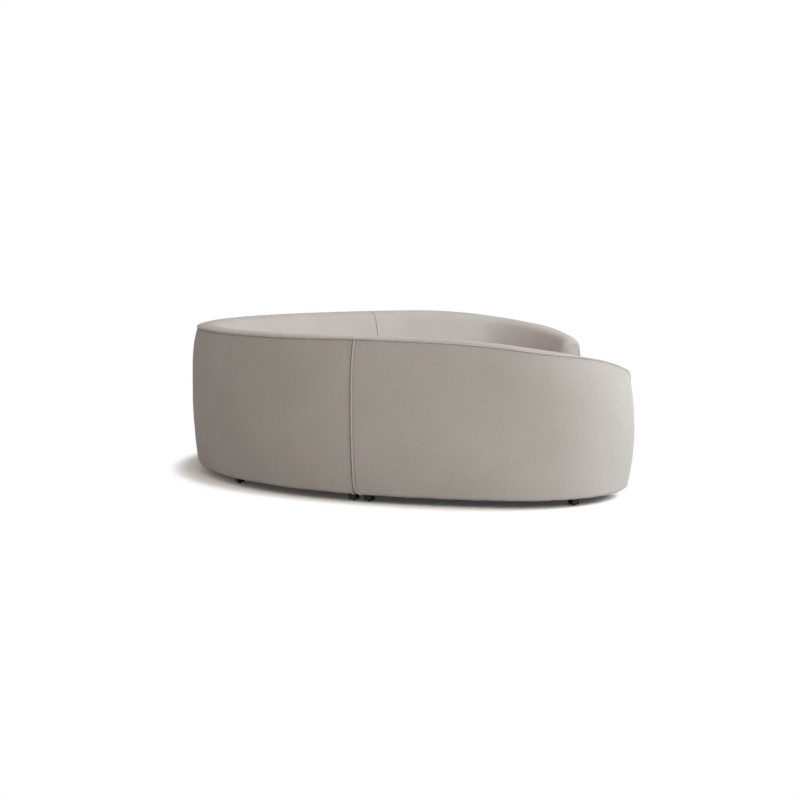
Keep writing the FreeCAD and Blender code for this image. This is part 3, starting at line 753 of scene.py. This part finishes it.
# Piping
# A cord in fabric cut on the bias is sewn into the seams: along the outer top edge, down the outer
# edge of the arm's end, and round the arm units' side at the seam, where it curls under.
cord, cord_sides = 0.0033, 10
top_cord_proud, seam_cord_proud, roll_cord_depth = 0.0010, 0.0014, 0.0032
# The cord's cloth is the same fabric as the covers, painted lighter: a painted highlight along the rounded
# cord.
bias_fabric_painted_lighter = weave_material(
    "greige_weave_on_the_bias_painted_lighter", (0.46, 0.437, 0.415), (0.80, 0.772, 0.745), turned=math.radians(45)
)


def sewn_cord():
    """The tree that sweeps a round cord along a path, and the identifiers of its three inputs."""
    tree = bpy.data.node_groups.new("sewn_cord", "GeometryNodeTree")
    tree.interface.new_socket("Path", in_out="INPUT", socket_type="NodeSocketGeometry")
    names = (("Cord radius", "NodeSocketFloat"), ("Sides", "NodeSocketInt"), ("Cloth", "NodeSocketMaterial"))
    sizes = [tree.interface.new_socket(name, in_out="INPUT", socket_type=kind) for name, kind in names]
    tree.interface.new_socket("Cord", in_out="OUTPUT", socket_type="NodeSocketGeometry")
    given, made = tree.nodes.new("NodeGroupInput"), tree.nodes.new("NodeGroupOutput")
    circle = tree.nodes.new("GeometryNodeCurvePrimitiveCircle")
    sweep = tree.nodes.new("GeometryNodeCurveToMesh")
    sweep.inputs["Fill Caps"].default_value = True
    whole = tree.nodes.new("GeometryNodeRealizeInstances")
    covered = tree.nodes.new("GeometryNodeSetMaterial")
    tree.links.new(given.outputs["Sides"], circle.inputs["Resolution"])
    tree.links.new(given.outputs["Cord radius"], circle.inputs["Radius"])
    tree.links.new(given.outputs["Path"], sweep.inputs["Curve"])
    tree.links.new(circle.outputs["Curve"], sweep.inputs["Profile Curve"])
    tree.links.new(sweep.outputs["Mesh"], whole.inputs["Geometry"])
    tree.links.new(whole.outputs["Geometry"], covered.inputs["Geometry"])
    tree.links.new(given.outputs["Cloth"], covered.inputs["Material"])
    tree.links.new(covered.outputs["Geometry"], made.inputs["Cord"])
    return tree, [size.identifier for size in sizes]


cord_tree, cord_keys = sewn_cord()


def evaluated(piece):
    """A plain mesh of a piece with its modifiers applied."""
    return bpy.data.meshes.new_from_object(piece.evaluated_get(bpy.context.evaluated_depsgraph_get()))


def tube(name, points, radius, body, *nodes, left=False):
    """A piece of piping along points, as a plain mesh with flat ends, on its body."""
    if left:
        points = [Vector((-point.x, point.y, point.z)) for point in points]
    curve = bpy.data.curves.new(name, "CURVE")
    curve.dimensions = "3D"
    spline = curve.splines.new("NURBS")
    spline.points.add(len(points) - 1)
    for knot, point in zip(spline.points, points):
        knot.co = (*point, 1)
    spline.order_u = 3
    spline.use_endpoint_u = True
    spline.resolution_u = 2
    path = bpy.data.objects.new(name, curve)
    bpy.context.scene.collection.objects.link(path)
    sweep = path.modifiers.new("sewn_cord", "NODES")
    sweep.node_group = cord_tree
    for key, value in zip(cord_keys, (radius, cord_sides, bias_fabric_painted_lighter)):
        sweep[key] = value
    mesh = evaluated(path)
    bpy.data.objects.remove(path)
    mesh.polygons.foreach_set("use_smooth", [len(face.vertices) == 4 for face in mesh.polygons])
    layer = mesh.uv_layers[0] if mesh.uv_layers else mesh.uv_layers.new(name="UVMap")
    for loop in mesh.loops:
        point = mesh.vertices[loop.vertex_index].co
        layer.data[loop.index].uv = (point.x + point.z, point.y + point.z)
    piece = bpy.data.objects.new(name, mesh)
    bpy.context.scene.collection.objects.link(piece)
    dress(piece, body, "upholstery_fabric", *nodes)


def on_outside(run, proud, down=None, height=None):
    """A point proud of an arm unit's outer face, so far down from the piping or at a height."""
    bottom = underside + round_off(run - seam_start, cover_corner)
    top = (edge_inset(run), edge_top(run))
    face = rounded_face(outer_profile(run, bottom), run, seam_start, end_run, top, 0)[::-1]
    steps = walked(face, face[0])
    passed = [away >= down if height is None else point[1] <= height for point, away in zip(face, steps)]
    index = max(passed.index(True), 1) if True in passed else len(face) - 1
    before, after = Vector(face[index - 1]), Vector(face[index])
    if height is None:
        share = (down - steps[index - 1]) / (steps[index] - steps[index - 1])
    else:
        share = (before.y - height) / (before.y - after.y)
    out = Vector((after.y - before.y, before.x - after.x)).normalized()
    here = before.lerp(after, min(max(share, 0), 1)) + out * proud
    return spot(run, here.x, here.y)


reach, count = middle_end - 0.002, 150
points = []
for step in range(count + 1):
    run = mix(-reach, reach, step / count)
    points.append(spot(run, -top_cord_proud, edge_top(run)))
tube("middle_top_cord", points, cord, "middle_unit", "middle_top_piping")
seam, turn_in, bend, end_length = seam_start + 0.0038, end_run - 0.0005, 0.030, 0.62
for left in (False, True):
    side = "left" if left else "right"
    body = side + "_arm_unit"
    points = []
    for step in range(101):
        run = mix(seam + 0.001, turn_in - bend, step / 100)
        points.append(spot(run, edge_inset(run) - top_cord_proud, edge_top(run)))
    for angle in range(10, 91, 10):
        swing = math.radians(angle)
        run = turn_in - bend + bend * math.sin(swing)
        points.append(on_outside(run, top_cord_proud, down=bend * (1 - math.cos(swing))))
    for step in range(1, 41):
        points.append(on_outside(turn_in, top_cord_proud, down=bend + end_length * step / 40))
        if points[-1] == points[-2]:
            break
    tube(side + "_top_cord", points, cord, body, side + "_top_piping", left=left)
    points = []
    for angle in range(5, 91, 8):
        swing = math.radians(angle)
        run = seam_start + cover_corner - (cover_corner - 0.0038) * math.sin(swing)
        height = underside + cover_corner - (cover_corner - 0.003) * math.cos(swing)
        points.append(on_outside(run, 0.0016, height=height))
    face, roll = section(seam)
    above = underside + cover_corner + 0.01
    points += [spot(seam, inset - seam_cord_proud, height) for inset, height in face if height > above]
    points += [spot(seam, inset, height) for inset, height in drawn_in(roll, roll_cord_depth)[2:]]
    tube(side + "_seam_cord", points, cord, body, left=left)


# Seat fronts
# The front of each seat is a padded upright board that follows the seat's inner curve, and on the
# arm units turns a rounded corner to the straight front.
setback, corner_radius = 0.0217, 0.09
front_line = end_centre.y - end_radius + setback
front_rounding, front_fullness, front_back, end_rounding = 0.008, 0.0025, 0.0135, 0.007


def seat_corner():
    start = side_centre + outward(side_turn) * (side_radius - seat_reach)
    corner_y = front_line + corner_radius
    corner_x = start.x + (corner_radius - (corner_y - start.y) * math.cos(side_turn)) / math.sin(side_turn)
    return Vector((corner_x, corner_y, 0))


def front_path(seam_clear, end_clear, spacing):
    """Plan points and outward directions of an arm unit's seat front, from the arm's end to the seam."""
    corner = seat_corner()
    depth = end_centre.y - front_line
    start = end_centre + outward(end_turn) * (depth / -math.cos(end_turn)) + along(end_turn) * end_clear
    front_end = corner + Vector((0, -corner_radius, 0))
    pairs = []
    count = max(round((start - front_end).length / spacing), 2)
    pairs += [(start.lerp(front_end, step / count), Vector((0, -1, 0))) for step in range(count)]
    for step in range(12):
        turn = mix(math.pi, math.pi + side_turn, step / 12)
        pairs.append((corner + outward(turn) * corner_radius, outward(turn)))
    corner_end = corner - outward(side_turn) * corner_radius
    line_end = side_centre + outward(side_turn) * (side_radius - seat_reach)
    count = max(round((corner_end - line_end).length / spacing), 2)
    pairs += [(corner_end.lerp(line_end, step / count), -outward(side_turn)) for step in range(count)]
    inner = side_radius - seat_reach
    last = back_turn + seam_clear / inner
    count = max(round(inner * (side_turn - last) / spacing), 2)
    for step in range(count + 1):
        turn = mix(side_turn, last, step / count)
        pairs.append((side_centre + outward(turn) * inner, -outward(turn)))
    return pairs


def front_cover(name, pairs, body, node, left):
    """A padded upright strip along plan points: rounded top and bottom edges and rounded ends."""
    lengths = [0.0]
    for one, two in zip(pairs, pairs[1:]):
        lengths.append(lengths[-1] + (two[0] - one[0]).length)
    high, low = deck_height - 0.0008, underside
    swings = [math.radians(angle) for angle in range(0, 91, 15)]
    profile = []
    for swing in swings:
        back, up = front_rounding * (1 - math.sin(swing)), front_rounding * (1 - math.cos(swing))
        profile.append((-back, low + up))
    for step in range(1, 12):
        share = step / 12
        height = mix(low + front_rounding, high - front_rounding, share)
        profile.append((front_fullness * math.sin(math.pi * share), height))
    for swing in swings:
        back, down = front_rounding * (1 - math.cos(swing)), front_rounding * (1 - math.sin(swing))
        profile.append((-back, high - down))
    profile += [(-front_back, high), (-front_back, low)]
    verts = []
    for (place, direction), length in zip(pairs, lengths):
        draw = round_off(min(length, lengths[-1] - length), end_rounding)
        for depth, height in profile:
            away = depth - draw if depth > -front_back else depth
            verts.append(place + direction * away + Vector((0, 0, height)))
    faces = ring_faces(len(pairs), len(profile), backwards=True)
    uvs = ring_uvs(lengths, walked_round(profile), profile, backwards=True)
    piece = build(name, verts, faces, uvs, fabric, left=left)
    dress(piece, body, "upholstery_fabric", node)


inner = back_radius - seat_reach
last_turn = back_turn - 0.004 / inner
end_turns = [last_turn - away / inner for away in (0, 0.0008, 0.002, 0.004)]
full_turn = last_turn - end_rounding / inner
turns = end_turns + [mix(full_turn, -full_turn, step / 90) for step in range(91)]
turns += [-turn for turn in end_turns[::-1]]
pairs = [(back_centre + outward(turn) * inner, -outward(turn)) for turn in turns]
front_cover("middle_seat_front", pairs, "middle_unit", "middle_front_panel", False)
for left in (False, True):
    side = "left" if left else "right"
    pairs = front_path(0.001, 0.001, 0.02)
    start = [(pairs[0][0].lerp(pairs[1][0], share), pairs[0][1]) for share in (0.04, 0.12, 0.25, 0.4)]
    finish = [(pairs[-2][0].lerp(pairs[-1][0], share), pairs[-1][1]) for share in (0.6, 0.75, 0.88, 0.96)]
    pairs = pairs[:1] + start + pairs[1:-1] + finish + pairs[-1:]
    front_cover(side + "_seat_front", pairs, side + "_arm_unit", side + "_front_panel", left)


# Seat cushions
# Loose foam cushions in zipped covers: crowned on top, swollen at the sides, with a cord sewn round
# the top and the bottom edge. They are inflated by a short cloth simulation.
cushion_gap, cushion_height, cushion_floor = 0.003, 0.14, deck_height
block_shrink, voxel_size, air_pressure, air_frames = 0.004, 0.010, 4.0, 20
floor_clearance, most_rise, least_rise, most_slide, side_swell = 0.0006, 0.026, 0.002, 0.007, 0.0045
unevenness, cord_inset, cord_heights = 0.0015, 0.006, (("top", 0.131), ("bottom", 0.012))


def middle_ring(inset):
    """Plan of a middle cushion, drawn in by an inset, along the back and round the seat's front."""
    clear = cushion_gap / 2 + inset
    seam_turn = middle_end / back_radius
    rows = []
    for radius in (back_radius - back_foot - cushion_gap - inset, back_radius - seat_reach + inset):
        edge = math.asin(clear / radius)
        turns = [mix(edge, seam_turn - edge, step / 14) for step in range(15)]
        rows.append([back_centre + outward(turn) * radius for turn in turns])
    return rows[0] + rows[1][::-1]


def arm_ring(inset):
    """Plan of an arm unit's cushion, drawn in by an inset, along the wall, the front and the seam."""
    clear = cushion_gap + inset
    start = back_run + side_radius * math.asin(clear / (side_radius - back_foot - clear))
    wall = [mix(start, end_run, step / 30) for step in range(31)]
    points = [spot(run, foot_line(run) + clear, 0) for run in wall]
    past = points[-1] + along(end_turn) * clear
    depth = past.y - front_line - inset
    outer = past + outward(end_turn) * (depth / -math.cos(end_turn))
    corner, radius = seat_corner(), corner_radius - inset
    points += [past, outer]
    points += [corner + outward(mix(math.pi, math.pi + side_turn, step / 6)) * radius for step in range(7)]
    inner_edge = side_radius - seat_reach + inset
    last = back_turn + math.asin(clear / inner_edge)
    points += [side_centre + outward(mix(side_turn, last, step / 8)) * inner_edge for step in range(9)]
    return points


def start_shape(name, ring, shrink, low, high):
    """A plain block with the cushion's plan, a little smaller, for the simulation to fill."""
    outline = ring(shrink)
    count = len(outline)
    verts = [tuple(point + Vector((0, 0, level))) for level in (low, high) for point in outline]
    faces = [tuple(range(count))[::-1], tuple(range(count, 2 * count))]
    faces += [(i, (i + 1) % count, count + (i + 1) % count, count + i) for i in range(count)]
    mesh = bpy.data.meshes.new(name)
    mesh.from_pydata(verts, [], faces)
    mesh.update()
    piece = bpy.data.objects.new(name, mesh)
    bpy.context.scene.collection.objects.link(piece)
    return piece


def inflate(name, ring):
    """Remesh the block, blow it up as cloth, and hold every point near its start, most of all sideways."""
    low, high = cushion_floor + 0.003, cushion_floor + cushion_height - 0.002
    piece = start_shape(name, ring, block_shrink, low, high)
    remesh = piece.modifiers.new("even", "REMESH")
    remesh.mode, remesh.voxel_size = "VOXEL", voxel_size
    piece.data = evaluated(piece)
    piece.modifiers.clear()
    rest = [(vertex.co.copy(), vertex.normal.copy()) for vertex in piece.data.vertices]
    cloth = piece.modifiers.new("air", "CLOTH")
    cloth.settings.use_pressure = True
    cloth.settings.uniform_pressure_force = air_pressure
    cloth.settings.effector_weights.gravity = 0
    cloth.settings.quality = 5
    scene = bpy.context.scene
    for step in range(1, air_frames + 1):
        scene.frame_set(step)
    piece.data = evaluated(piece)
    piece.modifiers.clear()
    scene.frame_set(1)
    for vertex, (start, normal) in zip(piece.data.vertices, rest):
        move, level = vertex.co - start, start.z - cushion_floor
        flat = Vector((move.x, move.y, 0)) * 0.3
        flat *= min(most_slide / max(flat.length, most_slide), 1)
        fullest = math.sin(math.pi * min(level / cushion_height, 1))
        swell = Vector((normal.x, normal.y, 0)) * side_swell * fullest
        rise = min(max(move.z, -0.006), mix(least_rise, most_rise, smooth((level - 0.02) / 0.09)))
        vertex.co = start + flat + swell + Vector((0, 0, rise))
        vertex.co.z = max(vertex.co.z, cushion_floor + floor_clearance)
    return piece


def finish_cushion(piece, name):
    """Roughen the simulated form a little, keep it above the seat deck, smooth and subdivide it, and give it
    an even box UV map.
    """
    mesh = piece.data
    for vertex in mesh.vertices:
        vertex.co += vertex.normal * soft_noise(vertex.co, 9.0, 2.0) * unevenness
        vertex.co.z = max(vertex.co.z, cushion_floor + floor_clearance)
    even = piece.modifiers.new("even", "SMOOTH")
    even.factor, even.iterations = 0.5, 3
    finer = piece.modifiers.new("finer", "SUBSURF")
    finer.levels = finer.render_levels = 1
    mesh = evaluated(piece)
    piece.modifiers.clear()
    mesh.name = name
    mesh.polygons.foreach_set("use_smooth", [True] * len(mesh.polygons))
    mesh.materials.clear()
    mesh.materials.append(fabric)
    layer = mesh.uv_layers.new(name="UVMap")
    for polygon in mesh.polygons:
        normal = polygon.normal
        for index in polygon.loop_indices:
            co = mesh.vertices[mesh.loops[index].vertex_index].co
            if abs(normal.z) > 0.6:
                uv = (co.x, co.y)
            elif abs(normal.x) > abs(normal.y):
                uv = (co.y, co.z)
            else:
                uv = (co.x, co.z)
            layer.data[index].uv = uv
    piece.data = mesh
    return piece


def welt(name, piece, ring, height, inset, body, left):
    """A cord on the cushion's surface along its plan outline at a height."""
    tree = BVHTree.FromObject(piece, bpy.context.evaluated_depsgraph_get())
    outline = ring(inset)
    dense = []
    for one, two in zip(outline, outline[1:] + outline[:1]):
        count = max(round((two - one).length / 0.025), 1)
        dense += [one.lerp(two, step / count) for step in range(count)]
    points = []
    for point in dense:
        place, normal, _, _ = tree.find_nearest(point + Vector((0, 0, height)))
        points.append(place + normal * 0.0008)
    points.append(points[0])
    tube(name, points, cord * 0.9, body, left=left)


for name, ring, node, body in (
    ("middle_{}_seat_cushion_cover", middle_ring, "middle_{}_seat_cushion", "middle_{}_cushion"),
    ("{}_seat_cushion_cover", arm_ring, "{}_seat_cushion", "{}_arm_cushion"),
):
    piece = finish_cushion(inflate(name.format("right"), ring), name.format("right"))
    mirror = bpy.data.meshes.new(name.format("left"))
    mesh = piece.data
    verts = [(-vertex.co.x, vertex.co.y, vertex.co.z) for vertex in mesh.vertices]
    mirror.from_pydata(verts, [], [tuple(face.vertices)[::-1] for face in mesh.polygons])
    layer, source = mirror.uv_layers.new(name="UVMap"), mesh.uv_layers["UVMap"]
    for here, there in zip(mirror.polygons, mesh.polygons):
        for index, other in zip(here.loop_indices, list(there.loop_indices)[::-1]):
            layer.data[index].uv = source.data[other].uv
    mirror.polygons.foreach_set("use_smooth", [True] * len(mirror.polygons))
    mirror.materials.append(fabric)
    twin = bpy.data.objects.new(name.format("left"), mirror)
    bpy.context.scene.collection.objects.link(twin)
    bpy.context.view_layer.update()
    for cushion, side in ((piece, "right"), (twin, "left")):
        dress(cushion, body.format(side), "upholstery_fabric", node.format(side))
        for edge, level in cord_heights:
            cord_name, height = f"{node.format(side)}_{edge}_cord", cushion_floor + level
            welt(cord_name, piece, ring, height, cord_inset, body.format(side), side == "left")


# Floor, light and camera
# A white studio floor that keeps the sofa's shadow, a large soft light from the open front, a side
# light and one from above, and the camera at the photograph's angle.
shadow_start, shadow_end = 2.2, 3.2
behind_start, behind_end, behind_share = 0.3, 1.1, 0.14
open_low, open_high, open_distance = 0.52, 0.70, 0.24
floor_reach = 60.0
floor_mesh = bpy.data.meshes.new("studio_floor")
corners = [(x * floor_reach, y * floor_reach, 0) for x, y in ((-1, -1), (1, -1), (1, 1), (-1, 1))]
floor_mesh.from_pydata(corners, [], [(0, 1, 2, 3)])
floor = bpy.data.objects.new("studio_floor", floor_mesh)
bpy.context.scene.collection.objects.link(floor)
floor_material = bpy.data.materials.new("white_floor")
floor_material.use_nodes = True
tree = floor_material.node_tree
tree.nodes.clear()
start = Sock(tree, None)
place = start.node("ShaderNodeTexCoord", (), 3)


def faded(value, low, high):
    """From none to one as a value goes from low to high, with soft ends."""
    inputs = {0: value, 1: low, 2: high}
    return start.node("ShaderNodeMapRange", inputs, 0, interpolation_type="SMOOTHSTEP")


away = start.node("ShaderNodeVectorMath", {0: place}, 1, operation="LENGTH")
seen = start.node("ShaderNodeLightPath", (), 0)
plain = start.node("ShaderNodeBsdfDiffuse", {"Color": (0.8, 0.8, 0.8, 1)})
bright = start.node("ShaderNodeBsdfDiffuse", {"Color": (1.48, 1.50, 1.52, 1)})
faint = start.node("ShaderNodeEmission", {"Color": (0.97, 0.99, 1, 1), "Strength": 0.035})
shade = start.node("ShaderNodeAddShader", {0: bright, 1: faint})
glow = start.node("ShaderNodeEmission", {"Color": (1, 1, 1, 1), "Strength": 1.0})
clear = start.node("ShaderNodeAmbientOcclusion", {"Distance": open_distance}, 1, samples=16)
depth = start.node("ShaderNodeSeparateXYZ", {0: place}, 1)
clear = faded(clear - faded(depth, behind_start, behind_end) * behind_share, open_low, open_high)
white = faded(away, shadow_start, shadow_end).math("MAXIMUM", clear)
backdrop = start.node("ShaderNodeMixShader", {0: white, 1: shade, 2: glow})
shown = start.node("ShaderNodeMixShader", {0: seen, 1: plain, 2: backdrop})
output = tree.nodes.new("ShaderNodeOutputMaterial")
tree.links.new(shown.socket, output.inputs[0])
floor.data.materials.append(floor_material)

world = bpy.data.worlds.new("studio")
bpy.context.scene.world = world
world.use_nodes = True
tree = world.node_tree
path = tree.nodes.new("ShaderNodeLightPath")
seen = Sock(tree, path.outputs["Is Camera Ray"]).math("MAXIMUM", Sock(tree, path.outputs["Is Glossy Ray"]))
seen = seen.math("MAXIMUM", Sock(tree, path.outputs["Is Transmission Ray"]))
colour = seen.tint((0.33, 0.300, 0.269), (1.0, 1.0, 1.0))
tree.links.new(colour.socket, tree.nodes["Background"].inputs["Color"])
tree.nodes["Background"].inputs["Strength"].default_value = 1.0


def area_light(name, place, aim, size, power, colour):
    light = bpy.data.lights.new(name, "AREA")
    light.shape, light.size, light.size_y, light.energy = "RECTANGLE", size[0], size[1], power
    light.color = colour
    lamp = bpy.data.objects.new(name, light)
    lamp.location = place
    lamp.rotation_euler = (Vector(aim) - Vector(place)).to_track_quat("-Z", "Y").to_euler()
    lamp.visible_camera = False
    bpy.context.scene.collection.objects.link(lamp)


area_light("front_softbox", (0.0, -5.54, 3.5), (0.0, 0.0, 0.3), (4.5, 3.0), 262, (0.913, 0.964, 1.0))
area_light("side_softbox", (-5.45, -1.98, 3.0), (0.0, 0.0, 0.3), (4.5, 3.0), 88, (1.0, 0.96, 0.89))
area_light("top_softbox", (0.0, -0.4, 4.6), (0.0, 0.0, 0.0), (4.0, 3.0), 38, (1.0, 0.87, 0.80))

# The camera is the one fitted to the photograph. These three lengths are in the photograph's pixels.
photo_width, focal_length, horizon_rise = 800.0, 1778.0, 163.98
camera_away, camera_forward, camera_height = 8.8165, 0.9942, 1.1295
sensor = 36.0
camera = bpy.data.objects.new("photo_camera", bpy.data.cameras.new("photo_camera"))
bpy.context.scene.collection.objects.link(camera)
bpy.context.scene.camera = camera
camera.data.sensor_width = sensor
camera.data.lens = sensor * focal_length / photo_width
camera.data.clip_end = 200.0
camera.location = (-camera_away, back_edge - camera_forward, camera_height)
camera.rotation_euler = (math.pi / 2 - math.atan(horizon_rise / focal_length), 0, -math.pi / 2)
